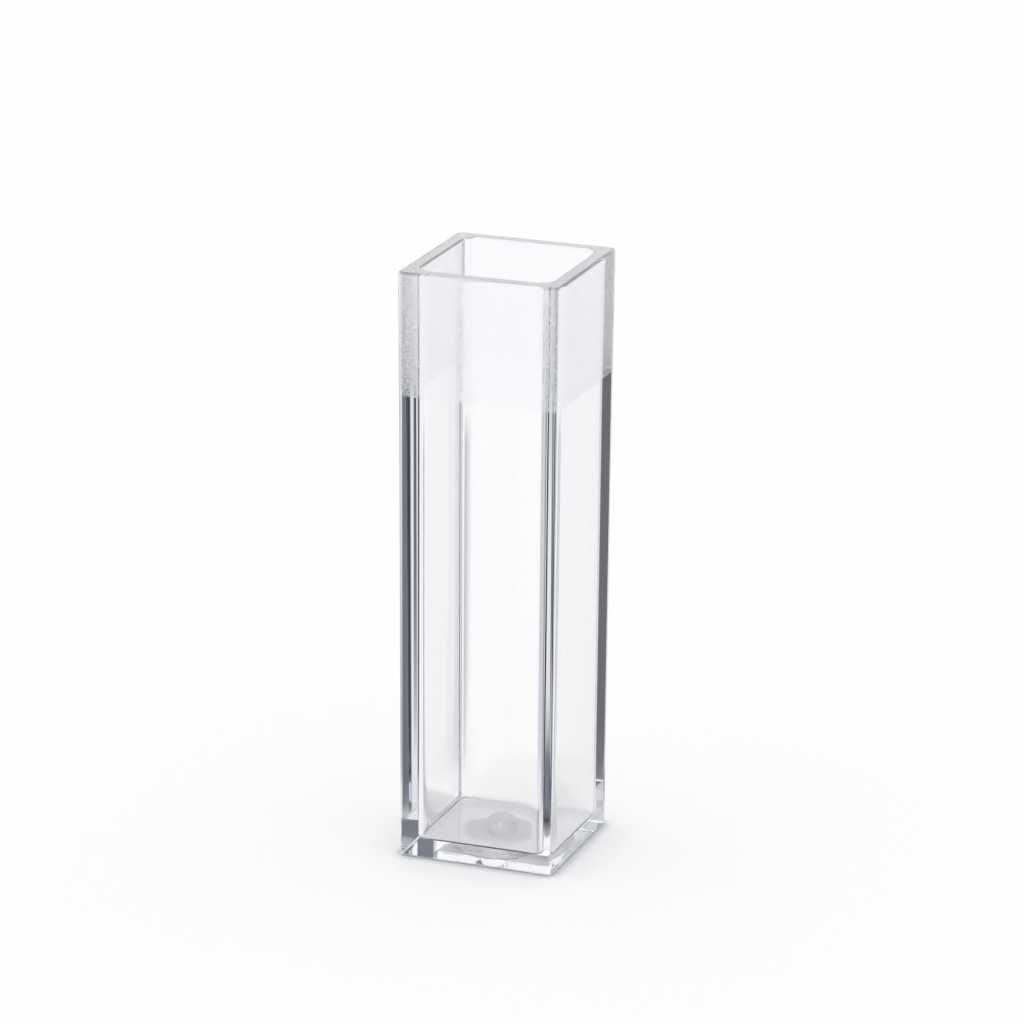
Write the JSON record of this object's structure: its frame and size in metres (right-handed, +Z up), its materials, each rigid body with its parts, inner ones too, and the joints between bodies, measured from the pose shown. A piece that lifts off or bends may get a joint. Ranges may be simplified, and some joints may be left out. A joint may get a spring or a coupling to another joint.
{
  "type": "cuvette",
  "caption": "Square clear plastic cuvette with an open top, polished windows, a frosted collar round the mouth and a domed floor.",
  "frame": {"origin": "centre of the foot's underside, on the surface it stands on", "axes": "+Z up through the open mouth, +X and +Y square to the windows"},
  "size_m": [0.0124, 0.0124, 0.045],
  "materials": {
    "clear_plastic": "colourless clear acrylic, polished on the windows and satin frosted round the collar"
  },
  "bodies": {
    "root": {"cuvette": "clear_plastic"}
  },
  "joints": []
}
